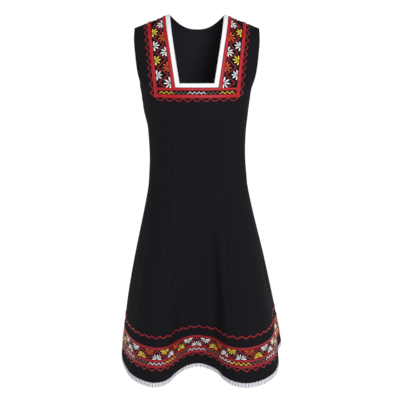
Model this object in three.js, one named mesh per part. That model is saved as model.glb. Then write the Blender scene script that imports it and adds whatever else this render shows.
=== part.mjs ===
// A sleeveless folk pinafore dress, as worn: six flared panels with a square neckline,
// red tapes round the neckline and the skirt, and white lace at the neckline and the hem.
// Millimetres, +Z up. The front faces -Y, so the wearer's left is at +X. The origin lies midway
// between the shoulders, level with the two neck points where the straps rest.
import * as THREE from 'three';

// Cloth and trim: thickness, and how far the trim lies off the cloth under it
const clothThickness = 2;
const seamGap = 0.3;
const neckTrim = { lift: 0.9, thickness: 1.2, gap: 0.4 };
const hemTrim = { lift: 0.3, thickness: 1.2 }; // tapes lie outside the cloth, the lace inside it

// Heights
const shoulderTipZ = -40;
const underarmZ = -201;
const evenColumnsZ = -430; // below this the columns of the middle panels are evenly spaced
const skirtTopZ = -500; // below this the skirt opens into its flutes
const hemZ = -1055;

// Shape of the straps and of the sections
const shoulderSlope = 0.38;
const capShare = 0.3; // share of the strap's height that rounds over the shoulder
const roundness = 2.3; // exponent of a section: 2 is an ellipse, more is squarer
const flareBend = 1.25; // more than 1 opens the flutes later
const backNeck = { halfWidth: 80, drop: 41, bend: 2.5 };

// Lines down the sides of the neckline and across under it: distances from the middle at the
// shoulder and at the bottom corner, and the height of the bottom
const neckBend = 1.1;
const neckLines = {
  laceInner: { topX: 79, cornerX: 49.5, bottomZ: -186.8 },
  clothEdge: { topX: 82, cornerX: 52.5, bottomZ: -189.5 },
  laceOuter: { topX: 90.5, cornerX: 61, bottomZ: -198.3 },
  tapeInner: { topX: 90.9, cornerX: 61.4, bottomZ: -198.7 },
  tapeOuter: { topX: 98.5, cornerX: 69.5, bottomZ: -207 },
  frameInner: { topX: 133, cornerX: 112, bottomZ: -217.5 },
  frameOuter: { topX: 143, cornerX: 121, bottomZ: -228 },
};
const neckBar = { bottomZ: -207, topZ: -199.5 };

// Sections of the inside: half width, depth in front and behind, the distance of each half's panel
// seams from the middle, and of the armhole's edge above the underarm
const sections = [
  { z: -40, side: 214, front: 38, back: 44, frontSeam: 118, backSeam: 118, arm: 182 },
  { z: -70, side: 212, front: 55, back: 63, frontSeam: 111, backSeam: 112, arm: 182 },
  { z: -100, side: 208, front: 71, back: 78, frontSeam: 104, backSeam: 106, arm: 180 },
  { z: -130, side: 200, front: 87, back: 89, frontSeam: 97, backSeam: 100, arm: 177 },
  { z: -165, side: 185, front: 103, back: 96, frontSeam: 89, backSeam: 94, arm: 172 },
  { z: -201, side: 164, front: 116, back: 100, frontSeam: 82, backSeam: 88, arm: 164 },
  { z: -246, side: 156, front: 123, back: 98, frontSeam: 78, backSeam: 82, arm: 156 },
  { z: -290, side: 151, front: 121, back: 93, frontSeam: 76, backSeam: 76, arm: 151 },
  { z: -340, side: 146, front: 108, back: 86, frontSeam: 75, backSeam: 70, arm: 146 },
  { z: -415, side: 143, front: 97, back: 80, frontSeam: 75, backSeam: 66, arm: 143 },
  { z: -480, side: 146, front: 101, back: 90, frontSeam: 78, backSeam: 70, arm: 146 },
  { z: -545, side: 151, front: 107, back: 104, frontSeam: 82, backSeam: 77, arm: 151 },
  { z: -620, side: 158, front: 111, back: 113, frontSeam: 85, backSeam: 82, arm: 158 },
  { z: -750, side: 172, front: 112, back: 118, frontSeam: 85, backSeam: 84, arm: 172 },
  { z: -887, side: 186, front: 112, back: 120, frontSeam: 85, backSeam: 84, arm: 186 },
  { z: -1055, side: 195, front: 112, back: 120, frontSeam: 85, backSeam: 84, arm: 195 },
];

// The hem's inside from above, anticlockwise: crests reach out, troughs stay in, and each seam
// comes down to the point that names it
const hemOutline = [
  { x: -243, y: 5, seam: 'right side' },
  { x: -239, y: -58 },
  { x: -222, y: -125 },
  { x: -197, y: -183 },
  { x: -165, y: -219 },
  { x: -130, y: -238 },
  { x: -105, y: -233, seam: 'right front' },
  { x: -86, y: -213 },
  { x: -68, y: -177 },
  { x: -51, y: -148 },
  { x: -30, y: -127 },
  { x: 4, y: -117 },
  { x: 42, y: -134 },
  { x: 64, y: -155 },
  { x: 80, y: -192 },
  { x: 106, y: -225, seam: 'left front' },
  { x: 146, y: -241 },
  { x: 196, y: -219 },
  { x: 234, y: -171 },
  { x: 253, y: -110 },
  { x: 258, y: -50 },
  { x: 263, y: 5, seam: 'left side' },
  { x: 279, y: 66 },
  { x: 263, y: 122 },
  { x: 225, y: 160 },
  { x: 196, y: 206 },
  { x: 158, y: 236 },
  { x: 112, y: 228, seam: 'left back' },
  { x: 80, y: 200 },
  { x: 50, y: 168 },
  { x: -2, y: 152 },
  { x: -54, y: 170 },
  { x: -84, y: 202 },
  { x: -114, y: 230, seam: 'right back' },
  { x: -158, y: 238 },
  { x: -197, y: 206 },
  { x: -218, y: 150 },
  { x: -237, y: 80 },
];

const hemTapes = [
  { name: 'hem_tape_upper', bottom: -963.5, top: -956.5 },
  { name: 'hem_tape_middle', bottom: -998, top: -991 },
  { name: 'hem_tape_lower', bottom: -1013.5, top: -1006 },
];
const hemLace = { bottom: -1069, top: -1047 };

// Each half has columns numbered anticlockwise from its middle: the neckline's corner, the panel
// seam and the side seam each lie on one
const cornerColumn = 4;
const seamColumn = 7;
const sideColumn = 18;

// Rows from the hem lace up to the underarm are heights, and above it shares of the way from the
// underarm to the shoulder line
const closedRows = [
  hemLace.bottom, hemZ, hemLace.top,
  ...hemTapes.flatMap(({ bottom, top }) => [bottom, top]).sort((a, b) => a - b),
  -885, -790, -700, -620, -550, -490, -430, -380, -330, -285, -250, -224, underarmZ,
];
const hemRow = closedRows.indexOf(hemZ);
const capAngles = [0, 18, 36, 54, 72, 90];
const strapRows = [
  shareAt(neckLines.clothEdge.bottomZ), 0.22, 0.38, 0.54, ...capAngles.map(capRow),
];
const neckBottomRow = closedRows.length; // the cloth's edge under the neckline
const rowCount = closedRows.length + strapRows.length;

const front = -1;
const back = 1;

const cloth = new THREE.MeshStandardMaterial({ color: 0x1d1c21, roughness: 0.85, metalness: 0 });
const whiteLace = new THREE.MeshStandardMaterial({ color: 0xf2f2f4, roughness: 0.9, metalness: 0 });
const redTape = new THREE.MeshStandardMaterial({ color: 0xb01c28, roughness: 0.6, metalness: 0 });

// The share of the way from the underarm to the neck point, negative below the underarm
function shareAt(z) {
  return 1 - z / underarmZ;
}

// The share reached at an angle round the shoulder, 0 degrees where the strap stops being upright
function capRow(degrees) {
  return 1 - capShare * (1 - Math.sin(THREE.MathUtils.degToRad(degrees)));
}

// Smooth interpolation of one column of the sections, with slopes from the rows on both sides
function sectionValue(z, column) {
  const last = sections.length - 1;
  const height = THREE.MathUtils.clamp(z, sections[last].z, sections[0].z);
  let row = 0;
  while (row < last - 1 && height < sections[row + 1].z) row += 1;
  const slopeAt = (index) => {
    const above = sections[Math.max(0, index - 1)];
    const below = sections[Math.min(last, index + 1)];
    return (above[column] - below[column]) / (above.z - below.z);
  };
  const span = sections[row + 1].z - sections[row].z;
  const s = (height - sections[row].z) / span;
  const blend = s * s * (3 - 2 * s);
  const bow = span * (slopeAt(row) * s * (1 - s) ** 2 - slopeAt(row + 1) * s * s * (1 - s));
  return sections[row][column] * (1 - blend) + sections[row + 1][column] * blend + bow;
}

// A section is a superellipse, walked by an angle that is 0 in the middle and 90 degrees at the side
const superellipse = (value) => Math.sign(value) * Math.abs(value) ** (2 / roundness);
const angleAt = (x, side) => Math.sign(x) * Math.asin(Math.min(1, Math.abs(x) / side) ** (roundness / 2));

const shoulderLineZ = (x) => -shoulderSlope * Math.max(0, Math.abs(x) - backNeck.halfWidth);

// How much of its depth the strap has reached, from 0 on the shoulder line to 1 where it is upright
function capDepth(share) {
  const down = Math.min(1, (1 - share) / capShare);
  return Math.sqrt(Math.max(0, 2 * down - down * down));
}

// The inside of the bodice at a distance x from the middle and a share of the strap's height
function bodicePoint(x, share, facing) {
  const reach = share > 0 ? shoulderLineZ(x) - underarmZ : -underarmZ;
  const z = underarmZ + share * reach;
  const sectionZ = share > 0 ? underarmZ + share * (shoulderTipZ - underarmZ) : z;
  const depth = sectionValue(sectionZ, facing === front ? 'front' : 'back') * capDepth(share);
  const angle = angleAt(x, sectionValue(sectionZ, 'side'));
  return new THREE.Vector3(x, facing * depth * superellipse(Math.cos(angle)), z);
}

// Distance from the middle of a line beside the neckline
function neckLineX({ topX, cornerX, bottomZ }, share) {
  return topX - (topX - cornerX) * ((underarmZ * (1 - share)) / bottomZ) ** neckBend;
}

// Share of the way from the middle to the panel seam, with the neckline's corner on its own column
function middleShare(column) {
  const corner = neckLines.clothEdge.cornerX / sectionValue(underarmZ, 'frontSeam');
  const past = (Math.abs(column) - cornerColumn) / (seamColumn - cornerColumn);
  const share = past > 0 ? corner + (1 - corner) * past : corner * (1 + past * (seamColumn / cornerColumn - 1));
  return Math.sign(column) * share;
}

// The stretches of the hem from seam to seam, anticlockwise, as functions of their share of length
const hemCurve = new THREE.CatmullRomCurve3(
  hemOutline.map(({ x, y }) => new THREE.Vector3(x, y, 0)), true);
const seamPlaces = hemOutline.flatMap(({ seam }, index) => (seam ? [index] : []));
const hemStretches = seamPlaces.map((start, index) =>
  hemStretch(start, seamPlaces[index + 1] ?? hemOutline.length));

function hemStretch(start, end) {
  const samples = 200;
  const points = [];
  const lengths = [0];
  for (let i = 0; i <= samples; i += 1) {
    points.push(hemCurve.getPoint((start + ((end - start) * i) / samples) / hemOutline.length));
    if (i > 0) lengths.push(lengths[i - 1] + points[i].distanceTo(points[i - 1]));
  }
  return (share) => {
    const wanted = share * lengths[samples];
    let i = 1;
    while (i < samples && lengths[i] < wanted) i += 1;
    return points[i - 1].clone().lerp(points[i], (wanted - lengths[i - 1]) / (lengths[i] - lengths[i - 1]));
  };
}

function hemPoint(column, facing) {
  const first = facing === front ? 0 : 3;
  if (column < -seamColumn) return hemStretches[first]((column + sideColumn) / (sideColumn - seamColumn));
  if (column <= seamColumn) return hemStretches[first + 1]((column / seamColumn + 1) / 2);
  return hemStretches[first + 2]((column - seamColumn) / (sideColumn - seamColumn));
}

// The angle of a column round the section at a height, and at the armhole's edge above the underarm
function columnAngle(column, sectionZ, facing, outermost) {
  const side = sectionValue(sectionZ, 'side');
  const seamX = sectionValue(sectionZ, facing === front ? 'frontSeam' : 'backSeam');
  const seamAngle = angleAt(seamX, side);
  const past = (Math.abs(column) - seamColumn) / (sideColumn - seamColumn);
  if (past > 0) return Math.sign(column) * (seamAngle + (outermost - seamAngle) * past);
  const even = THREE.MathUtils.smoothstep(-sectionZ, -underarmZ, -evenColumnsZ);
  return angleAt(seamX * THREE.MathUtils.lerp(middleShare(column), column / seamColumn, even), side);
}

// The inside of the closed part: the section's curve, which opens into the hem outline below the hip
function tubePoint(column, z, facing) {
  const sectionZ = Math.max(z, hemZ);
  const angle = columnAngle(column, sectionZ, facing, Math.PI / 2);
  const depth = sectionValue(sectionZ, facing === front ? 'front' : 'back');
  const x = -facing * sectionValue(sectionZ, 'side') * superellipse(Math.sin(angle));
  const point = new THREE.Vector3(x, facing * depth * superellipse(Math.cos(angle)), z);
  const opened = Math.max(0, (skirtTopZ - z) / (skirtTopZ - hemZ)) ** flareBend;
  return point.lerp(hemPoint(column, facing).setZ(z), opened);
}

// The inside of the straps and of the upper back
function strapPoint(column, share, facing) {
  const sectionZ = underarmZ + share * (shoulderTipZ - underarmZ);
  const side = sectionValue(sectionZ, 'side');
  const armAngle = angleAt(sectionValue(sectionZ, 'arm'), side);
  let x = side * superellipse(Math.sin(columnAngle(column, sectionZ, facing, armAngle)));
  if (facing === front && Math.abs(column) < seamColumn) {
    const edgeX = neckLineX(neckLines.clothEdge, share);
    const past = Math.max(0, Math.abs(column) - cornerColumn) / (seamColumn - cornerColumn);
    const inner = edgeX * Math.min(1, Math.abs(column) / cornerColumn);
    x = Math.sign(column) * (inner + (sectionValue(sectionZ, 'frontSeam') - edgeX) * past);
  }
  return bodicePoint(-facing * x, share, facing);
}

// The back neckline is a scoop, so the middle columns behind end below the shoulder line
function topShare(column, facing) {
  const topX = sectionValue(shoulderTipZ, 'backSeam') * Math.abs(middleShare(column));
  if (facing === front || topX >= backNeck.halfWidth) return 1;
  return 1 - (backNeck.drop / -underarmZ) * (1 - (topX / backNeck.halfWidth) ** backNeck.bend);
}

// The inside at a column and row. Past a side seam the closed part runs on over the other half.
function clothPoint(column, row, facing) {
  if (Math.abs(column) > sideColumn) {
    return clothPoint(column - Math.sign(column) * 2 * sideColumn, row, -facing);
  }
  if (row < closedRows.length) return tubePoint(column, closedRows[row], facing);
  return strapPoint(column, strapRows[row - closedRows.length] * topShare(column, facing), facing);
}

function hasCloth(column, row, facing) {
  if (row < 0 || row >= rowCount) return false;
  if (row < closedRows.length) return true;
  if (Math.abs(column) > sideColumn) return false;
  return facing === back || row === neckBottomRow || Math.abs(column) >= cornerColumn;
}

// A place on the cloth: its inside point and its outward direction, from the neighbouring points
function clothPlace(column, row, facing) {
  const point = clothPoint(column, row, facing);
  const near = (c, r) => (hasCloth(c, r, facing) ? clothPoint(c, r, facing) : point);
  const across = near(column + 1, row).clone().sub(near(column - 1, row));
  const up = near(column, row + 1).clone().sub(near(column, row - 1));
  return { point, normal: across.cross(up).normalize() };
}

// A wall over a grid of places: both its faces lie along the normals of the same points. Columns
// run anticlockwise seen from above and rows upwards, a missing place leaves a notch, and every
// edge that only one cell has is closed by a rim.
function makeWall(name, material, { columns, rows, closed = false, placeAt, from, to }) {
  const outer = [];
  const inner = [];
  const numbers = columns.map(() => []);
  columns.forEach((column, c) => rows.forEach((row, r) => {
    const place = placeAt(column, row);
    if (!place) return;
    numbers[c][r] = outer.length;
    outer.push(place.point.clone().addScaledVector(place.normal, to));
    inner.push(place.point.clone().addScaledVector(place.normal, from));
  }));

  const faces = [];
  const rims = new Map();
  const count = outer.length;
  const lastColumn = closed ? columns.length : columns.length - 1;
  for (let c = 0; c < lastColumn; c += 1) {
    const next = numbers[(c + 1) % columns.length];
    for (let r = 0; r < rows.length - 1; r += 1) {
      const cell = [numbers[c][r], next[r], next[r + 1], numbers[c][r + 1]];
      if (cell.includes(undefined)) continue;
      const [a, b, d, e] = cell;
      faces.push(a, b, d, a, d, e);
      faces.push(d + count, b + count, a + count, e + count, d + count, a + count);
      cell.forEach((start, corner) => {
        const end = cell[(corner + 1) % cell.length];
        if (!rims.delete(`${end} ${start}`)) rims.set(`${start} ${end}`, [start, end]);
      });
    }
  }
  for (const [start, end] of rims.values()) {
    faces.push(end, start, start + count, end, start + count, end + count);
  }

  const geometry = new THREE.BufferGeometry().setFromPoints([...outer, ...inner]);
  geometry.setIndex(faces);
  geometry.computeVertexNormals();
  const mesh = new THREE.Mesh(geometry, material);
  mesh.name = name;
  return mesh;
}

const range = (first, last) => Array.from({ length: last - first + 1 }, (_, index) => first + index);

// A panel of cloth between two columns. Its sewn edges keep half a seam gap.
function makePanel(name, facing, firstColumn, lastColumn) {
  const placeAt = (column, row) => {
    if (!hasCloth(column, row, facing)) return null;
    const { point, normal } = clothPlace(column, row, facing);
    const pulled = point.clone();
    const pull = (c, r) => pulled.add(clothPoint(c, r, facing).sub(point).setLength(seamGap / 2));
    if (column === firstColumn) pull(column + 1, row);
    if (column === lastColumn) pull(column - 1, row);
    if (row === rowCount - 1) pull(column, row - 1);
    return { point: pulled, normal };
  };
  return makeWall(name, cloth, {
    columns: range(firstColumn, lastColumn), rows: range(hemRow, rowCount - 1), placeAt, from: 0, to: clothThickness,
  });
}

// A ring of trim round the skirt, between two rows of the cloth, at a distance out from its inside
function makeHemTrim(name, material, bottom, top, from) {
  const placeAt = (column, row) => (column <= sideColumn
    ? clothPlace(column, row, front)
    : clothPlace(column - 2 * sideColumn, row, back));
  return makeWall(name, material, {
    columns: range(-sideColumn, 3 * sideColumn - 1),
    rows: range(closedRows.indexOf(bottom), closedRows.indexOf(top)),
    closed: true, placeAt, from, to: from + hemTrim.thickness,
  });
}

// A place on the front of the bodice, with its outward direction
function bodicePlace(x, share) {
  const step = { x: 1, share: 0.005 };
  const higher = Math.min(1, share + step.share);
  const across = bodicePoint(x + step.x, share, front).sub(bodicePoint(x - step.x, share, front));
  const up = bodicePoint(x, higher, front).sub(bodicePoint(x, share - step.share, front));
  return { point: bodicePoint(x, share, front), normal: across.cross(up).normalize() };
}

function makeNeckStrip(name, material, columns, placeAt) {
  const lift = clothThickness + neckTrim.lift;
  return makeWall(name, material, { columns, rows: [0, 1], placeAt, from: lift, to: lift + neckTrim.thickness });
}

// Trim between two lines round the neckline: down the right strap, across, and up the left one.
// It ends just in front of the shoulder seam.
function makeNeckTrim(name, material, innerLine, outerLine) {
  const capStops = [86, ...capAngles.slice(0, -1).reverse()].map(capRow);
  const sideSteps = 6;
  const acrossSteps = 18;
  const corner = capStops.length + sideSteps - 1;
  const lines = [outerLine, innerLine];
  const placeAt = (column, row) => {
    const line = lines[row];
    const cornerShare = shareAt(line.bottomZ);
    const side = column <= corner ? -1 : 1;
    const down = side < 0 ? column : 2 * corner + acrossSteps - column;
    if (down > corner) {
      const across = (column - corner) / acrossSteps;
      return bodicePlace(line.cornerX * (2 * across - 1), cornerShare);
    }
    const share = capStops[down]
      ?? THREE.MathUtils.lerp(1 - capShare, cornerShare, (down - capStops.length + 1) / sideSteps);
    return bodicePlace(side * neckLineX(line, share), share);
  };
  return makeNeckStrip(name, material, range(0, 2 * corner + acrossSteps), placeAt);
}

// A short bar of tape that carries the tape under the neckline on to the frame, on one side
function makeNeckBar(name, side) {
  const steps = 4;
  const heights = [neckBar.bottomZ, neckBar.topZ];
  const placeAt = (column, row) => {
    const share = shareAt(heights[row]);
    const fromX = neckLineX(neckLines.tapeOuter, share) + neckTrim.gap;
    const toX = neckLineX(neckLines.frameInner, share) - neckTrim.gap;
    return bodicePlace(side * THREE.MathUtils.lerp(fromX, toX, (side * column) / steps), share);
  };
  return makeNeckStrip(name, redTape, side > 0 ? range(0, steps) : range(-steps, 0), placeAt);
}

const dress = new THREE.Group();
dress.add(
  makePanel('front_centre', front, -seamColumn, seamColumn),
  makePanel('front_side_right', front, -sideColumn, -seamColumn),
  makePanel('front_side_left', front, seamColumn, sideColumn),
  makePanel('back_centre', back, -seamColumn, seamColumn),
  makePanel('back_side_left', back, -sideColumn, -seamColumn),
  makePanel('back_side_right', back, seamColumn, sideColumn),
  makeNeckTrim('neck_lace', whiteLace, neckLines.laceInner, neckLines.laceOuter),
  makeNeckTrim('neck_tape', redTape, neckLines.tapeInner, neckLines.tapeOuter),
  makeNeckTrim('neck_frame', redTape, neckLines.frameInner, neckLines.frameOuter),
  makeNeckBar('neck_bar_right', -1),
  makeNeckBar('neck_bar_left', 1),
  ...hemTapes.map(({ name, bottom, top }) =>
    makeHemTrim(name, redTape, bottom, top, clothThickness + hemTrim.lift)),
  makeHemTrim('hem_lace', whiteLace, hemLace.bottom, hemLace.top, -hemTrim.lift - hemTrim.thickness),
);

export default dress;
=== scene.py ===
# A sleeveless folk pinafore dress, as worn: black cloth in six flared panels, embroidered bands
# round the square neckline and the skirt, white lace at the neckline and under the hem.
# Tables are in millimetres and degrees, meshes in metres. The front faces -Y, +X is the wearer's left.
import math
import bpy
import numpy as np
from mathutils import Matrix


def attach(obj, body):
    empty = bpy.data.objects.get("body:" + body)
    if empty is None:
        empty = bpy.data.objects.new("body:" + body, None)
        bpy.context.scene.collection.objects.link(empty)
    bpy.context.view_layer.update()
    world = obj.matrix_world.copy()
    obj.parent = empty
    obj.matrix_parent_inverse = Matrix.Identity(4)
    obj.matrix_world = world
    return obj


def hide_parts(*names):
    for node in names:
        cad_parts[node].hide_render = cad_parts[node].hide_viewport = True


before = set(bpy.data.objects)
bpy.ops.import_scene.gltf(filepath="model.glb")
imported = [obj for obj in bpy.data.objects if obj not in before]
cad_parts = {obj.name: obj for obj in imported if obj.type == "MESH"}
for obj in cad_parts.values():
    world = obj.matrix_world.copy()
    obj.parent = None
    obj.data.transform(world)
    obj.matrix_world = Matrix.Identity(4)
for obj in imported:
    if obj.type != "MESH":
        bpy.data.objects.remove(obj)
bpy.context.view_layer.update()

print("frame loaded")

# The form of the dress. Each half has columns numbered anticlockwise from its middle: the corner of
# the neckline, the panel seam and the side seam each lie on one.
form = dict(
    underarm=-201.0, shoulderTip=-40.0, evenColumns=-430.0, skirtTop=-500.0, hem=-1055.0,
    shoulderSlope=0.38, capShare=0.3, roundness=2.3, flareBend=1.25,
    backNeckHalf=80.0, backNeckDrop=41.0, backNeckBend=2.5,
    corner=4.0, seam=7.0, side=18.0, wall=2.0,
)

# Sections of the inside: height, half width, depth in front and behind, distance of each half's
# panel seams from the middle, and of the armhole's edge
sectionNames = ("z", "side", "front", "back", "frontSeam", "backSeam", "arm")
sectionRows = np.array([
    (-40, 214, 38, 44, 118, 118, 182),
    (-70, 212, 55, 63, 111, 112, 182),
    (-100, 208, 71, 78, 104, 106, 180),
    (-130, 200, 87, 89, 97, 100, 177),
    (-165, 185, 103, 96, 89, 94, 172),
    (-201, 164, 116, 100, 82, 88, 164),
    (-246, 156, 123, 98, 78, 82, 156),
    (-290, 151, 121, 93, 76, 76, 151),
    (-340, 146, 108, 86, 75, 70, 146),
    (-415, 143, 97, 80, 75, 66, 143),
    (-480, 146, 101, 90, 78, 70, 146),
    (-545, 151, 107, 104, 82, 77, 151),
    (-620, 158, 111, 113, 85, 82, 158),
    (-750, 172, 112, 118, 85, 84, 172),
    (-887, 186, 112, 120, 85, 84, 186),
    (-1055, 195, 112, 120, 85, 84, 195),
], float)
sections = dict(zip(sectionNames, sectionRows.T))

# The hem's inside from above, anticlockwise from the right side seam, and which points are seams
hemOutline = np.array([
    (-243, 5), (-239, -58), (-222, -125), (-197, -183), (-165, -219), (-130, -238), (-105, -233),
    (-86, -213), (-68, -177), (-51, -148), (-30, -127), (4, -117), (42, -134), (64, -155),
    (80, -192), (106, -225), (146, -241), (196, -219), (234, -171), (253, -110), (258, -50),
    (263, 5), (279, 66), (263, 122), (225, 160), (196, 206), (158, 236), (112, 228), (80, 200),
    (50, 168), (-2, 152), (-54, 170), (-84, 202), (-114, 230), (-158, 238), (-197, 206),
    (-218, 150), (-237, 80),
], float)
hemSeams = (0, 6, 15, 21, 27, 33, 38)
hemSeamColumns = (-18, -7, 7, 18, 29, 43, 54)

# Lines beside and under the neckline: distance from the middle at the shoulder and at the corner,
# and the height of the bottom
neckBend = 1.1
neckLines = dict(
    laceInner=(79.0, 49.5, -186.8),
    clothEdge=(82.0, 52.5, -189.5),
    laceOuter=(90.5, 61.0, -198.3),
    tapeInner=(90.9, 61.4, -198.7),
    tapeOuter=(98.5, 69.5, -207.0),
    frameInner=(133.0, 112.0, -217.5),
    frameOuter=(143.0, 121.0, -228.0),
)

# Soft troughs and ridges, each along a line from one bearing and height to another. Bearing 0 is the
# front and 90 the wearer's left; wide is the half width at both ends, deep is how far out the fold
# stands, a positive lean narrows the side of lower bearings, and fade is the share of each end.
folds = [
    dict(start=(22.0, -555), end=(19.4, -1000), wide=(12, 25), deep=-12.0, lean=0.45, fade=(0.4, 0.3)),
    dict(start=(26.5, -660), end=(26.3, -990), wide=(8, 15), deep=3.5),
    dict(start=(-55, -600), end=(-45, -990), wide=(36, 52), deep=5.0, lean=0.15),
    dict(start=(-17.8, -838), end=(-23.5, -970), wide=(6, 14), deep=-8.0, lean=0.4),
    dict(start=(-21.5, -725), end=(-27.5, -815), wide=(6, 9), deep=-4.4),
    dict(start=(3, -985), end=(3, -1260), wide=(55, 80), deep=-9.0, fade=(0.3, 0.1)),
    dict(start=(90, -320), end=(90, -920), wide=(70, 80), deep=5.6),
    dict(start=(-90, -150), end=(-90, -330), wide=(45, 45), deep=6.5),
    dict(start=(-90, 60), end=(-90, -120), wide=(280, 60), deep=2.6),
    dict(start=(90, 60), end=(90, -120), wide=(280, 60), deep=1.6),
    dict(start=(84, -690), end=(79, -990), wide=(10, 24), deep=-4.5, lean=-0.3),
    dict(start=(-78, -650), end=(-83, -985), wide=(10, 26), deep=-4.5, lean=0.3),
    dict(start=(112, -640), end=(108, -985), wide=(14, 26), deep=4.0, lean=-0.3),
    dict(start=(136, -600), end=(141, -990), wide=(9, 24), deep=-5.0, lean=0.4),
    dict(start=(168, -620), end=(172, -990), wide=(9, 26), deep=-5.5, lean=-0.5, fade=(0.5, 0.3)),
    dict(start=(-176, -760), end=(-172, -960), wide=(6, 14), deep=2.5),
    dict(start=(-158, -610), end=(-153, -990), wide=(8, 22), deep=-5.0, lean=0.4),
    dict(start=(-131, -630), end=(-124, -970), wide=(16, 30), deep=4.5),
    dict(start=(-106, -720), end=(-111, -990), wide=(7, 20), deep=-3.5, lean=-0.3),
]

# The darts of the side panels, narrow grooves at the waist
darts = [((-57.2, -268), (-59.3, -394)), ((57.5, -270), (60.2, -394)),
         ((-118, -268), (-121, -394)), ((118, -268), (121, -394))]
folds += [dict(start=start, end=end, wide=(1.9, 1.9), deep=-1.1, fade=(0.1, 0.2)) for start, end in darts]


def smoothStep(value, low, high):
    # 0 below low, 1 above high, and 3s^2 - 2s^3 between
    s = np.clip((value - low) / (high - low), 0, 1)
    return s * s * (3 - 2 * s)


def lerp(start, end, share):
    return start + (end - start) * share


def lengthsAlong(points, axis=0):
    # running length of a line of points, from 0
    steps = np.cumsum(np.linalg.norm(np.diff(points, axis=axis), axis=-1), axis)
    return np.concatenate([np.zeros_like(np.take(steps, [0], axis)), steps], axis)


def sectionValue(z, name):
    # cubic between the rows of the sections, with slopes from the rows on both sides
    rows = sections["z"]
    values = sections[name]
    count = len(rows)
    above = np.maximum(np.arange(count) - 1, 0)
    below = np.minimum(np.arange(count) + 1, count - 1)
    slopes = (values[above] - values[below]) / (rows[above] - rows[below])
    height = np.clip(z, rows[-1], rows[0])
    row = np.clip(np.searchsorted(-rows, -height) - 1, 0, count - 2)
    span = rows[row + 1] - rows[row]
    s = (height - rows[row]) / span
    blend = s * s * (3 - 2 * s)
    bow = span * (slopes[row] * s * (1 - s) ** 2 - slopes[row + 1] * s * s * (1 - s))
    return values[row] * (1 - blend) + values[row + 1] * blend + bow


def halfValue(z, facing, frontName, backName):
    return np.where(facing < 0, sectionValue(z, frontName), sectionValue(z, backName))


def superellipse(value):
    return np.sign(value) * np.abs(value) ** (2 / form["roundness"])


def angleAt(x, side):
    return np.sign(x) * np.arcsin(np.minimum(1, np.abs(x) / side) ** (form["roundness"] / 2))


def shareAt(z):
    # share of the way from the underarm to the neck point
    return 1 - z / form["underarm"]


def capDepth(share):
    # a quarter circle over the shoulder: 0 on the shoulder line, 1 where the strap is upright
    down = np.clip((1 - share) / form["capShare"], 0, 1)
    return np.sqrt(2 * down - down * down)


def bodiceInside(x, share, facing):
    # y = depth * cap * cos(angle)^(2/roundness), z runs to the sloping shoulder line
    shoulderLine = -form["shoulderSlope"] * np.maximum(0, np.abs(x) - form["backNeckHalf"])
    reach = np.where(share > 0, shoulderLine - form["underarm"], -form["underarm"])
    z = form["underarm"] + share * reach
    upper = form["underarm"] + share * (form["shoulderTip"] - form["underarm"])
    sectionZ = np.where(share > 0, upper, z)
    depth = halfValue(sectionZ, facing, "front", "back") * capDepth(share)
    angle = angleAt(x, sectionValue(sectionZ, "side"))
    return np.stack([x, facing * depth * superellipse(np.cos(angle)), z], -1)


def neckLineX(line, share):
    # topX - (topX - cornerX) * (height below the shoulder / height of the corner)^bend
    topX, cornerX, bottomZ = line
    down = np.maximum(0, form["underarm"] * (1 - share) / bottomZ)
    return topX - (topX - cornerX) * down ** neckBend


def middleShare(column):
    # share of the way to the panel seam, straight on both sides of the neckline's corner
    corner = neckLines["clothEdge"][1] / sectionValue(form["underarm"], "frontSeam")
    size = np.abs(column)
    inner = corner * size / form["corner"]
    outer = corner + (1 - corner) * (size - form["corner"]) / (form["seam"] - form["corner"])
    return np.sign(column) * np.where(size > form["corner"], outer, inner)


def makeHemTable():
    # closed centripetal Catmull-Rom curve through the outline, spaced evenly from seam to seam
    count = len(hemOutline)
    columns, points = [], []
    for part in range(6):
        place = np.linspace(hemSeams[part], hemSeams[part + 1], 801)
        first = np.minimum(np.floor(place).astype(int), hemSeams[part + 1] - 1)
        weight = (place - first)[:, None]
        p0, p1, p2, p3 = (hemOutline[(first + step) % count] for step in (-1, 0, 1, 2))
        d0, d1, d2 = (np.sum((b - a) ** 2, 1)[:, None] ** 0.25 for a, b in ((p0, p1), (p1, p2), (p2, p3)))
        leave = ((p1 - p0) / d0 - (p2 - p0) / (d0 + d1) + (p2 - p1) / d1) * d1
        arrive = ((p2 - p1) / d1 - (p3 - p1) / (d1 + d2) + (p3 - p2) / d2) * d1
        curve = (p1 + leave * weight + (3 * p2 - 3 * p1 - 2 * leave - arrive) * weight ** 2
                 + (2 * p1 - 2 * p2 + leave + arrive) * weight ** 3)
        length = lengthsAlong(curve)
        columns.append(lerp(*hemSeamColumns[part:part + 2], length / length[-1]))
        points.append(curve)
    return np.concatenate(columns), np.concatenate(points)


hemColumns, hemPoints = makeHemTable()


def hemInside(column, facing):
    ring = np.where(facing < 0, column, column + 2 * form["side"])
    return np.stack([np.interp(ring, hemColumns, hemPoints[:, axis]) for axis in (0, 1)], -1)


def columnAngle(column, sectionZ, facing, outermost):
    side = sectionValue(sectionZ, "side")
    seamX = halfValue(sectionZ, facing, "frontSeam", "backSeam")
    seamAngle = angleAt(seamX, side)
    past = (np.abs(column) - form["seam"]) / (form["side"] - form["seam"])
    even = smoothStep(-sectionZ, -form["underarm"], -form["evenColumns"])
    inner = angleAt(seamX * lerp(middleShare(column), column / form["seam"], even), side)
    return np.where(past > 0, np.sign(column) * (seamAngle + (outermost - seamAngle) * past), inner)


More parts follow.
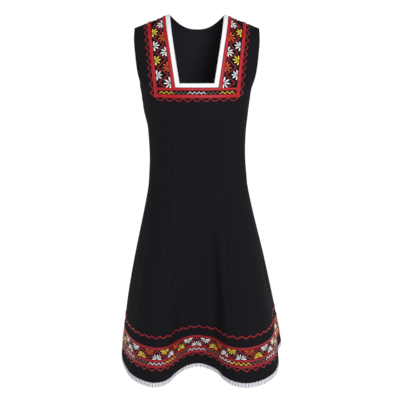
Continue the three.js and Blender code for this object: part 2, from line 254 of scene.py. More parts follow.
def tubeInside(column, z, facing):
    # the section's superellipse, which opens into the hem outline below the hip
    sectionZ = np.maximum(z, form["hem"])
    angle = columnAngle(column, sectionZ, facing, math.pi / 2)
    depth = halfValue(sectionZ, facing, "front", "back")
    x = -facing * sectionValue(sectionZ, "side") * superellipse(np.sin(angle))
    y = facing * depth * superellipse(np.cos(angle))
    opened = np.maximum(0, (form["skirtTop"] - z) / (form["skirtTop"] - form["hem"])) ** form["flareBend"]
    hem = hemInside(column, facing)
    return np.stack([lerp(x, hem[..., 0], opened), lerp(y, hem[..., 1], opened), z + 0 * x], -1)


def strapInside(column, share, facing):
    # the straps and the upper back; in front the middle columns follow the neckline's edge
    sectionZ = form["underarm"] + share * (form["shoulderTip"] - form["underarm"])
    side = sectionValue(sectionZ, "side")
    armAngle = angleAt(sectionValue(sectionZ, "arm"), side)
    x = side * superellipse(np.sin(columnAngle(column, sectionZ, facing, armAngle)))
    edgeX = neckLineX(neckLines["clothEdge"], share)
    past = np.maximum(0, np.abs(column) - form["corner"]) / (form["seam"] - form["corner"])
    inner = edgeX * np.minimum(1, np.abs(column) / form["corner"])
    strapX = np.sign(column) * (inner + (sectionValue(sectionZ, "frontSeam") - edgeX) * past)
    x = np.where((facing < 0) & (np.abs(column) < form["seam"]), strapX, x)
    return bodiceInside(-facing * x, share, facing)


def topShare(column, facing):
    # the back neckline is a scoop
    topX = sectionValue(form["shoulderTip"], "backSeam") * np.abs(middleShare(column))
    scoop = 1 - np.minimum(1, topX / form["backNeckHalf"]) ** form["backNeckBend"]
    return np.where(facing < 0, 1, 1 - form["backNeckDrop"] / -form["underarm"] * scoop)


def clothInside(column, height, facing):
    # past a side seam the closed part runs on over the other half
    above = height > form["underarm"]
    over = (np.abs(column) > form["side"]) & ~above
    facing = np.where(over, -facing, facing)
    column = np.where(over, column - 2 * form["side"] * np.sign(column),
                      np.clip(column, -form["side"], form["side"]))
    tube = tubeInside(column, np.minimum(height, form["underarm"]), facing)
    share = np.clip(shareAt(height), 0, 1) * topShare(column, facing)
    return np.where(above[..., None], strapInside(column, share, facing), tube)


def foldLift(points):
    # (1 + cos) / 2 across each fold's line, faded in and out along it
    x, y, z = points[..., 0], points[..., 1], points[..., 2]
    bearing = np.degrees(np.arctan2(x, -y))
    reach = np.hypot(x, y)
    lift = np.zeros_like(x)
    for fold in folds:
        (bearingTop, top), (bearingEnd, end) = fold["start"], fold["end"]
        along = (top - z) / (top - end)
        off = np.radians((bearing - lerp(bearingTop, bearingEnd, along) + 180) % 360 - 180) * reach
        lean = fold.get("lean", 0)
        wide = lerp(*fold["wide"], np.clip(along, 0, 1)) * np.where(off < 0, 1 - lean, 1 + lean)
        fadeIn, fadeOut = fold.get("fade", (0.35, 0.35))
        fade = smoothStep(along, 0, fadeIn) * (1 - smoothStep(along, 1 - fadeOut, 1))
        lift = lift + fold["deep"] * fade * (0.5 + 0.5 * np.cos(np.pi * np.clip(off / wide, -1, 1)))
    return lift


def unit(vectors):
    return vectors / np.maximum(np.linalg.norm(vectors, axis=-1, keepdims=True), 1e-9)


def movedOut(base, across, rise, lift):
    # inside point + (wall + folds + lift) along the outward direction
    out = unit(np.cross(across, rise))
    return base + out * (form["wall"] + foldLift(base) + lift)[..., None]


def clothAt(column, height, facing, lift):
    # a place on the cloth: column and height on the front (-1) or back (1), lift off the cloth
    column, height, facing, lift = np.broadcast_arrays(column, height, facing, lift)
    across = clothInside(column + 0.05, height, facing) - clothInside(column - 0.05, height, facing)
    rise = clothInside(column, height + 0.6, facing) - clothInside(column, height - 0.6, facing)
    return movedOut(clothInside(column, height, facing), across, rise, lift)


# Places on the front of the bodice: x from the middle, y the length of cloth above the underarm,
# measured up a line over the strap
overStrap = 105.0
capTurn = np.linspace(0.002, math.pi / 2, 400)
strapShares = np.r_[np.linspace(-0.4, 0.7, 400), 1 - form["capShare"] * (1 - np.sin(capTurn))]
strapLengths = lengthsAlong(bodiceInside(np.full_like(strapShares, overStrap), strapShares, -1))
strapLengths -= np.interp(0, strapShares, strapLengths)
strapTop = strapLengths[-1]


def neckAt(x, y, lift):
    x, share, lift = np.broadcast_arrays(x, np.interp(y, strapLengths, strapShares), lift)
    across = bodiceInside(x + 0.6, share, -1) - bodiceInside(x - 0.6, share, -1)
    rise = bodiceInside(x, np.minimum(1, share + 0.003), -1) - bodiceInside(x, share - 0.003, -1)
    return movedOut(bodiceInside(x, share, -1), across, rise, lift)


def neckX(name, y):
    # distance of a neckline line from the middle at a length y
    return neckLineX(neckLines[name], np.interp(y, strapLengths, strapShares))


def yOfZ(z):
    return np.interp(shareAt(z), strapShares, strapLengths)


# Places on the skirt: s the length round the cloth, at one height of the band, from the front middle
# towards the wearer's left
ringHeight = -980.0
ringColumns = np.linspace(-form["side"], 3 * form["side"], 2881)


def ringSplit(ring):
    # column and facing of a place on the ring: the back's columns follow the front's
    side = form["side"]
    turn = np.mod(ring + side, 4 * side) - side
    return np.where(turn <= side, turn, turn - 2 * side), np.where(turn <= side, -1, 1)


ringColumn, ringFacing = ringSplit(ringColumns)
ringLengths = lengthsAlong(clothAt(ringColumn, ringHeight, ringFacing, 0))
skirtGirth = ringLengths[-1]
ringLengths -= np.interp(0, ringColumns, ringLengths)
patternEase = dict(place=-235.0, shift=17.0, reach=110.0)


def withinHalfTurn(s):
    return np.mod(s + skirtGirth / 2, skirtGirth) - skirtGirth / 2


def skirtAt(s, z, lift):
    # the pattern is pushed together a little round the flute in front on the wearer's right
    off = withinHalfTurn(s - patternEase["place"])
    s = s + patternEase["shift"] * np.exp(-(off / patternEase["reach"]) ** 2)
    s = np.mod(s - ringLengths[0], skirtGirth) + ringLengths[0]
    column, facing = ringSplit(np.interp(s, ringLengths, ringColumns))
    return clothAt(column, z, facing, lift)


def addObject(name, data):
    made = bpy.data.objects.new(name, data)
    bpy.context.scene.collection.objects.link(made)
    return made


def addMesh(name, points, faces, material):
    mesh = bpy.data.meshes.new(name)
    mesh.from_pydata(points.tolist(), [], faces)
    mesh.polygons.foreach_set("use_smooth", np.ones(len(mesh.polygons), bool))
    mesh.materials.append(material)
    return addObject(name, mesh)


def addPiece(name, points, faces, material, uv):
    # points in millimetres; uv is one pair for each point
    piece = addMesh(name, points / 1000, faces, material)
    layer = piece.data.uv_layers.new(name="UVMap")
    corners = np.empty(len(piece.data.loops), np.int32)
    piece.data.loops.foreach_get("vertex_index", corners)
    layer.data.foreach_set("uv", uv.astype(np.float32)[corners].ravel())
    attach(piece, "root")
    return piece


def gridFaces(rows, columns, closeRows=False, closeColumns=False):
    # quads of a grid numbered row by row; facing rows x columns
    r = np.arange(rows if closeRows else rows - 1)[:, None]
    c = np.arange(columns if closeColumns else columns - 1)[None, :]
    r1, c1 = (r + 1) % rows, (c + 1) % columns
    quads = np.stack([r * columns + c, r1 * columns + c, r1 * columns + c1, r * columns + c1], -1)
    return quads.reshape(-1, 4)


def wallFaces(cells, shape):
    # outer and inner faces over the cells that have cloth, and a rim round every open edge
    count = shape[0] * shape[1]
    number = np.arange(count).reshape(shape)
    quads = np.stack([number[:-1, :-1], number[1:, :-1], number[1:, 1:], number[:-1, 1:]], -1)[cells]
    edges = np.stack([quads, np.roll(quads, -1, 1)], -1).reshape(-1, 2)
    rims = edges[~np.isin(edges @ [count, 1], edges @ [1, count])]
    rimFaces = np.stack([rims[:, 1], rims[:, 0], rims[:, 0] + count, rims[:, 1] + count], -1)
    return np.concatenate([quads, quads[:, ::-1] + count, rimFaces])


def thinWall(name, outer, inner, cells, materials, uv):
    # rows of the arrays run across and columns up, so that the faces point outwards; the second
    # material is for the inside
    faces = wallFaces(cells, outer.shape[:2])
    isInner = np.min(faces, 1) >= outer[..., 0].size
    used = np.unique(faces)
    points = np.concatenate([outer.reshape(-1, 3), inner.reshape(-1, 3)])[used]
    both = np.tile(uv.reshape(-1, 2), (2, 1))[used]
    piece = addPiece(name, points, np.searchsorted(used, faces).tolist(), materials[0], both)
    piece.data.materials.append(materials[1])
    piece.data.polygons.foreach_set("material_index", isInner.astype(np.int32))
    return piece


def newMaterial(name):
    material = bpy.data.materials.new(name)
    material.use_nodes = True
    nodes = material.node_tree.nodes
    return material, nodes, material.node_tree.links, nodes["Principled BSDF"]


def addNode(nodes, kind, **settings):
    node = nodes.new(kind)
    for key, value in settings.items():
        if key in node.inputs:
            node.inputs[key].default_value = value
        else:
            setattr(node, key, value)
    return node


def setInputs(node, values):
    for key, value in values.items():
        node.inputs[key].default_value = value


def connect(links, *joins):
    # each join names a node and its output, then the next node and its input
    for source, output, target, socket in joins:
        links.new(source.outputs[output], target.inputs[socket])


def ramp(nodes, stops):
    node = nodes.new("ShaderNodeValToRGB")
    for element, (place, colour) in zip(node.color_ramp.elements, stops):
        element.position = place
        element.color = (*colour, 1)
    return node


woolLook = dict(
    dark=(0.0075, 0.0071, 0.0090), light=(0.0139, 0.0129, 0.0161), roughness=0.9,
    threadsPerMetre=1500, weaveDepth=0.00012, napDepth=0.0003, sheen=0.015, insidePaintedLightFactor=1.9,
)


def makeWool(name, factor):
    # plain weave from two crossed sine waves on the piece's own UVs in metres, with a soft nap
    material, nodes, links, shader = newMaterial(name)
    grid = addNode(nodes, "ShaderNodeUVMap", uv_map="UVMap")
    scale = woolLook["threadsPerMetre"] / 20
    warp, weft = (addNode(nodes, "ShaderNodeTexWave", bands_direction=way, Scale=scale) for way in "XY")
    weave = addNode(nodes, "ShaderNodeMath", operation="MULTIPLY")
    nap = addNode(nodes, "ShaderNodeTexNoise", Scale=900.0, Detail=4.0)
    dark, light = (tuple(factor * part for part in woolLook[shade]) for shade in ("dark", "light"))
    tone = ramp(nodes, [(0.3, dark), (0.7, light)])
    weaveBump = addNode(nodes, "ShaderNodeBump", Strength=1.0, Distance=woolLook["weaveDepth"])
    napBump = addNode(nodes, "ShaderNodeBump", Strength=0.5, Distance=woolLook["napDepth"])
    connect(links, (grid, "UV", warp, "Vector"), (grid, "UV", weft, "Vector"), (grid, "UV", nap, "Vector"),
            (warp, "Fac", weave, 0), (weft, "Fac", weave, 1), (weave, 0, weaveBump, "Height"),
            (nap, "Fac", tone, "Fac"), (tone, "Color", shader, "Base Color"),
            (nap, "Fac", napBump, "Height"), (weaveBump, "Normal", napBump, "Normal"),
            (napBump, "Normal", shader, "Normal"))
    setInputs(shader, {
        "Roughness": woolLook["roughness"], "Specular IOR Level": 0.03,
        "Sheen Weight": woolLook["sheen"], "Sheen Roughness": 0.45, "Sheen Tint": (0.75, 0.75, 0.85, 1),
    })
    return material


def makeThread(name, base, deep, strandPitch=0.0006, roughness=0.5, sheen=0.06):
    # strands side by side along the run: u is the length along it and v the place across, in metres
    material, nodes, links, shader = newMaterial(name)
    place = addNode(nodes, "ShaderNodeUVMap", uv_map="UVMap")
    strands = addNode(nodes, "ShaderNodeTexWave", bands_direction="X", Scale=1 / (20 * strandPitch),
                      Distortion=1.2, Detail=1.0)
    shade = addNode(nodes, "ShaderNodeTexNoise", Scale=260.0, Detail=2.0)
    # the deep colour is painted shade in the troughs between the strands, mixed with random tone from the
    # noise
    tone = ramp(nodes, [(0.25, deep), (0.75, base)])
    mixed = addNode(nodes, "ShaderNodeMath", operation="MULTIPLY_ADD")
    mixed.inputs[1].default_value = 0.35
    bump = addNode(nodes, "ShaderNodeBump", Strength=0.8, Distance=0.0002)
    connect(links, (place, "UV", strands, "Vector"), (place, "UV", shade, "Vector"),
            (strands, "Fac", mixed, 0), (shade, "Fac", mixed, 2), (mixed, 0, tone, "Fac"),
            (tone, "Color", shader, "Base Color"), (strands, "Fac", bump, "Height"),
            (bump, "Normal", shader, "Normal"))
    setInputs(shader, {
        "Roughness": roughness, "Specular IOR Level": 0.3, "Sheen Weight": sheen, "Sheen Roughness": 0.4,
    })
    return material


wool = makeWool("blackWool", 1)
# the inside of the cloth is the same black wool painted lighter by the factor in woolLook: painted light
# for the light that reaches the inside through the neckline
insideWoolPaintedLighter = makeWool("blackWoolInsidePaintedLight", woolLook["insidePaintedLightFactor"])
threads = dict(
    red=makeThread("redThread", (0.50, 0.006, 0.014), (0.26, 0.003, 0.008)),
    dullRed=makeThread("dullRedThread", (0.32, 0.007, 0.016), (0.16, 0.004, 0.008)),
    white=makeThread("whiteThread", (0.98, 0.98, 0.99), (0.88, 0.89, 0.93)),
    yellow=makeThread("yellowThread", (0.98, 0.75, 0.06), (0.88, 0.60, 0.04)),
    orange=makeThread("orangeThread", (0.78, 0.12, 0.02), (0.60, 0.08, 0.01)),
    green=makeThread("greyGreenThread", (0.14, 0.16, 0.14), (0.06, 0.07, 0.06)),
)
laceCotton = makeThread("whiteLaceCotton", (0.96, 0.96, 0.97), (0.82, 0.83, 0.85), 0.0012, 0.75, 0.1)
# the white crochet cotton is painted grey as painted shade, and its nearly black deep colour is painted
# shadow in the gaps between the knots
crochetCottonPaintedShade = makeThread("whiteCrochetCottonPaintedShade", (0.74, 0.75, 0.79), (0.15, 0.16, 0.20), 0.0016, 0.8, 0.05)
print("materials made")

# Cloth panels: first and last column of each, on the front (-1) or back (1), with the flat cut's
# width and length and its area in square metres
panels = dict(
    front_centre=dict(facing=-1, columns=(-7, 7), flat=(0.44, 1.06), area=0.19),
    front_side_right=dict(facing=-1, columns=(-18, -7), flat=(0.33, 1.04), area=0.18),
    front_side_left=dict(facing=-1, columns=(7, 18), flat=(0.33, 1.04), area=0.19),
    back_centre=dict(facing=1, columns=(-7, 7), flat=(0.44, 1.06), area=0.21),
    back_side_left=dict(facing=1, columns=(-18, -7), flat=(0.36, 1.04), area=0.18),
    back_side_right=dict(facing=1, columns=(7, 18), flat=(0.34, 1.04), area=0.18),
)
clothShell = dict(
    thickness=1.0, turnedThickness=1.9, turnedDepth=14.0, rowStep=7.0, columnStep=0.22,
    seamDip=1.9, sideDip=0.6, seamWidth=2.3, pucker=0.3, puckerPitch=11.0, puckerReach=7.0,
    edgeRound=1.2, edgeDepth=0.45, armColumn=9.0, dartColumns=(10.7, 11.8),
)
edgeSteps = np.array([0, 0.03, 0.07, 0.12, 0.17])
farAway = 99


def panelGrid(first, last):
    # columns and heights of a panel's grid, closer together at the seams, darts and edges
    inside = np.arange(first + 0.2, last - 0.19, clothShell["columnStep"])
    extra = [-form["corner"], form["corner"]]
    if last - first < 12:
        dartFrom, dartTo = clothShell["dartColumns"]
        inside = inside[(np.abs(inside) < dartFrom - 0.1) | (np.abs(inside) > dartTo + 0.1)]
        extra = np.sign(last + first) * np.arange(dartFrom, dartTo, 0.06)
    columns = np.unique(np.round(np.r_[first + edgeSteps, inside, last - edgeSteps, extra], 5))
    capAngles = np.radians(np.r_[np.linspace(0, 84, 15), 87, 88.6, 89.5])
    caps = form["underarm"] * form["capShare"] * (1 - np.sin(capAngles))
    lower = np.arange(form["hem"] + 3.5, caps[0] - 3, clothShell["rowStep"])
    bottom = neckLines["clothEdge"][2]
    notch = bottom - np.array([0, 0.5, 1.4, 3])
    lower = lower[np.abs(lower - bottom - 1.5) > 4]
    heights = np.unique(np.r_[form["hem"] + np.array([0, 0.4, 1.2]), lower, notch, caps])
    return columns, heights


def fromFreeEdge(columns, heights, facing):
    # millimetres to the hem, the armhole or the neckline, whichever is nearer
    hem = heights - form["hem"]
    armhole = (form["side"] - np.abs(columns)) * clothShell["armColumn"]
    arm = np.where(heights > form["underarm"] + 2, armhole, farAway)
    byScoop = (facing > 0) & (np.abs(columns) < 4.3) & (heights > form["underarm"])
    return np.minimum(np.minimum(hem, arm), np.where(byScoop, -heights, farAway))


def makePanel(name, facing, columns, flat, area):
    columns, heights = panelGrid(*columns)
    column, height = np.meshgrid(columns, heights, indexing="ij")
    base = clothAt(column, height, facing, 0)
    perColumn = np.linalg.norm(np.gradient(base, axis=0), axis=-1) / np.gradient(columns)[:, None]
    size = np.abs(column)
    fromSeam = np.minimum(np.abs(size - form["seam"]), np.abs(size - form["side"])) * perColumn
    closed = height < form["underarm"]
    bySide = size > (form["seam"] + form["side"]) / 2
    fromSeam = np.where(closed | ~bySide, fromSeam, farAway)
    deepest = np.where(bySide, clothShell["sideDip"], clothShell["seamDip"])
    dip = -deepest * np.exp(-(fromSeam / clothShell["seamWidth"]) ** 2)
    wave = np.sin(height * 2 * np.pi / clothShell["puckerPitch"] + 1.7 * np.sin(height / 37))
    pucker = clothShell["pucker"] * wave * np.exp(-(fromSeam / clothShell["puckerReach"]) ** 2)
    free = fromFreeEdge(column, height, facing)
    rounded = clothShell["edgeDepth"] * np.maximum(0, 1 - free / clothShell["edgeRound"]) ** 2
    thick = lerp(clothShell["turnedThickness"], clothShell["thickness"],
                 smoothStep(free, clothShell["turnedDepth"] - 1, clothShell["turnedDepth"] + 1))
    outer = clothAt(column, height, facing, dip + pucker - rounded)
    inner = clothAt(column, height, facing, dip + pucker - thick + rounded)
    middle = np.abs(columns[:-1] + columns[1:])[:, None] / 2
    centre = (heights[:-1] + heights[1:])[None, :] / 2
    neckOpening = (facing < 0) & (middle < form["corner"]) & (centre > neckLines["clothEdge"][2])
    halfway = len(columns) // 2
    lengthAcross = lengthsAlong(base)
    lengthAcross -= lengthAcross[halfway]
    uv = np.stack([lengthAcross, lengthsAlong(base[halfway]) + 0 * lengthAcross], -1) / 1000
    piece = thinWall(name + "_cloth", outer, inner, ~neckOpening, (wool, insideWoolPaintedLighter), uv)
    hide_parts(name)
    return piece


panelPieces = [makePanel(name, **panel) for name, panel in panels.items()]
print("panels sewn:", len(panelPieces))


def ringSection(sides, square, sink):
    # round the section of a satin run: across goes from 1 to -1 and back, up is sin(a)^square above
    # the cloth and a little below it underneath
    angle = np.arange(sides) * 2 * np.pi / sides
    up = np.where(np.sin(angle) > 0.01, np.abs(np.sin(angle)) ** square, -sink)
    return np.cos(angle), up


def runGrid(path, halfWidth, rise, placeAt, closed=False, sides=8, square=0.75, sink=0.25):
    # a run of stitches along a path, halfWidth to either side of it and rise high: its points, its
    # UVs and whether it closes on itself
    path = np.asarray(path, float)
    if closed:
        delta = np.roll(path, -1, -2) - np.roll(path, 1, -2)
        delta[..., 0] = withinHalfTurn(delta[..., 0])
    else:
        delta = np.gradient(path, axis=-2)
    direction = unit(delta)
    normal = np.stack([-direction[..., 1], direction[..., 0]], -1)
    across, up = ringSection(sides, square, sink)
    halfWidth = np.broadcast_to(halfWidth, path.shape[:-1])[..., None]
    rise = np.broadcast_to(rise, path.shape[:-1])[..., None]
    place = path[..., None, :] + normal[..., None, :] * (halfWidth * across)[..., None]
    points = placeAt(place[..., 0], place[..., 1], rise * up)
    length = lengthsAlong(path, path.ndim - 2)
    uv = np.stack(np.broadcast_arrays(length[..., None], halfWidth * across), -1) / 1000
    return points, uv, closed


def bandGrid(inner, outer, rise, placeAt, sides=12, square=0.5, sink=0.15):
    # a band between two lines with as many points each, mitred where they turn
    across, up = ringSection(sides, square, sink)
    share = (1 + across)[None, :, None] / 2
    place = inner[:, None] * (1 - share) + outer[:, None] * share
    points = placeAt(place[..., 0], place[..., 1], rise * up)
    width = np.linalg.norm(outer - inner, axis=-1)[:, None] * share[..., 0]
    uv = np.stack([lengthsAlong((inner + outer) / 2)[:, None] + 0 * width, width], -1) / 1000
    return points, uv, False


def volumeOf(points, quads):
    # positive when the faces of a closed shape point outwards
    a, b, c, d = (points[quads[:, k]] - points[0] for k in range(4))
    return np.sum(a * np.cross(b, c)) + np.sum(a * np.cross(c, d))


def bundlePieces(name, runs, material, nodes=()):
    # one mesh from many runs; a run's points are grouped as runs, along and round
    points, uvs, faces, count = [], [], [], 0
    for run, uv, closed in runs:
        run = run.reshape(-1, *run.shape[-3:])
        copies, along, sides = run.shape[:3]
        quads = gridFaces(along, sides, closeRows=closed, closeColumns=True)
        ends = [] if closed else [list(range(sides)), list(range(along * sides))[:-sides - 1:-1]]
        first = run[0].reshape(-1, 3)
        caps = np.array([[end[0], end[k], end[k + 1], end[k + 1]]
                         for end in ends for k in range(1, sides - 1)])
        whole = quads if closed else np.concatenate([quads, caps])
        if volumeOf(first, whole) < 0:
            quads = quads[:, ::-1]
            ends = [end[::-1] for end in ends]
        starts = count + np.arange(copies) * along * sides
        faces += (quads[None] + starts[:, None, None]).reshape(-1, 4).tolist()
        faces += [[corner + int(start) for corner in end] for end in ends for start in starts]
        points.append(run.reshape(-1, 3))
        uvs.append(np.broadcast_to(uv.reshape(-1, *uv.shape[-3:]), (*run.shape[:-1], 2)).reshape(-1, 2))
        count += copies * along * sides
    piece = addPiece(name, np.concatenate(points), faces, material, np.concatenate(uvs))
    if nodes:
        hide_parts(*nodes)


def softTriangle(turns, sharp=0.96):
    # a triangle wave with rounded corners: arcsin(sharp * sin) / arcsin(sharp)
    return np.arcsin(sharp * np.sin(2 * np.pi * turns)) / math.asin(sharp)


petalBody = np.array([0.40, 0.48, 0.68, 0.92, 1.12, 1.12, 0.85, 0.28])


def petalPaths(centres, directions, reach, band):
    # petals fanned over half a turn: each runs out from the centre by reach, which is the
    # length along the band and the height away from it; the outermost two are fatter
    angles = np.radians(band["petalAngles"])
    t = np.linspace(0.14, 1, len(petalBody))
    wobble = handwork.normal(0, 1, (len(centres), len(angles), 2))
    turned = angles + wobble[..., 0] * 0.035
    size = 1 + wobble[..., 1] * 0.035
    alongPart = (np.cos(turned) * size)[..., None] * t * reach[0]
    awayPart = (np.sin(turned) * size)[..., None] * t * reach[1]
    alongWay, awayWay = directions[:, 0][:, None, None, :], directions[:, 1][:, None, None, :]
    paths = centres[:, None, None, :] + alongPart[..., None] * alongWay + awayPart[..., None] * awayWay
    spread = np.where(np.abs(np.cos(angles)) > 0.9, band["outerPetals"], 1.0)[None, :, None]
    return paths, np.broadcast_to(spread * petalBody, paths.shape[:-1])


handwork = np.random.default_rng(7)

# Embroidery round the skirt. The pattern repeats every five rosettes, six times round.
skirtBand = dict(
    rosettes=30, upperBase=-965.8, lowerBase=-988.7, reach=(17.0, 14.6), petalWidth=1.2, petalRise=1.1,
    upperColours=("white", "orange", "yellow", "orange", "white"),
    lowerColours=("white", "yellow", "white", "white", "yellow"),
    petalAngles=(2, 31, 60, 90, 120, 149, 178), outerPetals=1.45,
    fieldTop=-966.0, fieldBottom=-988.5, fieldWidth=1.75,
    chainZ=-1002.2, chainSwing=2.8, chainWidth=0.95, chainTurns=4,
    chainColours=("white", "green", "white", "yellow", "green"),
    wavePitches=60, waveZ=-928.0, waveSwing=3.1, waveWidth=2.0,
    scallopTop=-1013.5, scallopDrop=9.3, scallopWidth=1.75,
    tapes=dict(
        hem_tape_upper=(-963.5, -956.5),
        hem_tape_middle=(-998.0, -991.0),
        hem_tape_lower=(-1013.5, -1006.0),
    ),
    tapeOver=0.7, tapeRise=1.5, lineRise=1.1, chainRise=0.9,
)


def ringPath(count, heightOf):
    s = np.linspace(0, skirtGirth, count + 1)[:-1]
    return np.stack([s, heightOf(s)], -1)


def makeSkirtBand():
    band = skirtBand
    pitch = skirtGirth / band["rosettes"]
    for name, (bottom, top) in band["tapes"].items():
        path = ringPath(420, lambda s: np.full_like(s, (bottom + top) / 2))
        run = runGrid(path, (top - bottom) / 2 + band["tapeOver"], band["tapeRise"], skirtAt,
                      closed=True, sides=10, square=0.5)
        bundlePieces(name + "_satin", [run], threads["dullRed"], [name])

    wavePitch = skirtGirth / band["wavePitches"]
    steps = band["wavePitches"] * 14

    def waveHeight(s):
        return band["waveZ"] + band["waveSwing"] * softTriangle(s / wavePitch, 0.93)

    def fieldHeight(s):
        share = 0.5 + 0.5 * softTriangle(s / pitch + 0.25, 0.97)
        return lerp(band["fieldBottom"], band["fieldTop"], share)

    def scallopHeight(s):
        share = 0.5 - 0.5 * softTriangle(s / wavePitch + 0.25, 0.95)
        return band["scallopTop"] - band["scallopDrop"] * share

    for name, heightOf, width in (("skirt_zigzag", waveHeight, band["waveWidth"]),
                                  ("skirt_band_zigzag", fieldHeight, band["fieldWidth"]),
                                  ("skirt_scallops", scallopHeight, band["scallopWidth"])):
        run = runGrid(ringPath(steps, heightOf), width, band["lineRise"], skirtAt, closed=True)
        bundlePieces(name, [run], threads["dullRed"])

    def placesOf(colours, colour):
        return np.array([i for i in range(band["rosettes"]) if band[colours][i % 5] == colour], float)

    for colour in ("white", "green", "yellow"):
        turns = np.linspace(0, band["chainTurns"], band["chainTurns"] * 12 + 1)
        middle = placesOf("chainColours", colour)[:, None] * pitch
        s = middle + (turns / band["chainTurns"] - 0.5) * (pitch - 1.5)
        z = band["chainZ"] + band["chainSwing"] * softTriangle(turns[None] - 0.25, 0.95) + 0 * s
        run = runGrid(np.stack([s, z], -1), band["chainWidth"], band["chainRise"], skirtAt)
        bundlePieces("skirt_chain_" + colour, [run], threads[colour])

    for colour in ("white", "yellow", "orange"):
        upper, lower = placesOf("upperColours", colour), placesOf("lowerColours", colour)
        centres = np.array([((i + 0.5) * pitch, band["upperBase"]) for i in upper]
                           + [(i * pitch, band["lowerBase"]) for i in lower])
        ways = np.array([((1, 0), (0, -1))] * len(upper) + [((1, 0), (0, 1))] * len(lower), float)
        paths, body = petalPaths(centres, ways, band["reach"], band)
        run = runGrid(paths, body * band["petalWidth"], body * band["petalRise"], skirtAt, sides=6)
        bundlePieces("skirt_rosettes_" + colour, [run], threads[colour])


makeSkirtBand()
print("skirt embroidered")

# Embroidery round the neckline, in lengths of cloth above the underarm. Flowers on the tape point
# outwards and those on the frame point inwards.
neckBand = dict(
    tapeRise=2.0, barRise=1.9, barTop=-199.5, flowerOff=2.3, firstFlower=1.15, flowerReach=(14.8, 17.2),
    flowerPitch=43.6, petalWidth=1.95, petalRise=1.0,
    petalAngles=(8, 49, 90, 131, 172), outerPetals=1.15,
    innerStart=15.0, innerColours=("white", "orange", "white", "orange", "white"),
    outerStart=36.0, outerColours=("white", "yellow", "white", "yellow"),
    fieldWidth=1.75, fieldRise=1.1, innerInset=6.3, outerInset=7.8, tapeWider=1.3,
    toothTips=(-16.5, 8.5, 37.5, 60.5, 81, 102.5, 125, 149.5, 175, 199.5, 224),
    toothReach=9.2, toothWidth=1.6, toothRise=1.2, cornerTurn=((110.0, -33.5), (118.5, -27.0)),
    dips=9, dipPitch=25.7, dipDepth=8.5, chainY=-12.1, chainSwing=2.9, chainWidth=0.95, chainRise=0.9,
    chains=((-108, -65, 3, "yellow"), (-65, -26, 3, "green"), (-26, 26, 4, "white"),
            (26, 65, 3, "green"), (65, 108, 3, "yellow")),
)


def neckLinePath(name, sideSteps=70, acrossSteps=60, topGap=1.2):
    # down the right strap, across under the neckline and up the left strap
    corner = neckLines[name][1]
    bottomY = yOfZ(neckLines[name][2])
    y = lerp(strapTop - topGap, bottomY, np.linspace(0, 1, sideSteps + 1))
    x = neckX(name, y)
    x[-1] = corner
    acrossX = np.linspace(-corner, corner, acrossSteps + 1)[1:-1]
    return np.concatenate([np.stack([-x, y], -1), np.stack([acrossX, np.full_like(acrossX, bottomY)], -1),
                           np.stack([x, y], -1)[::-1]])


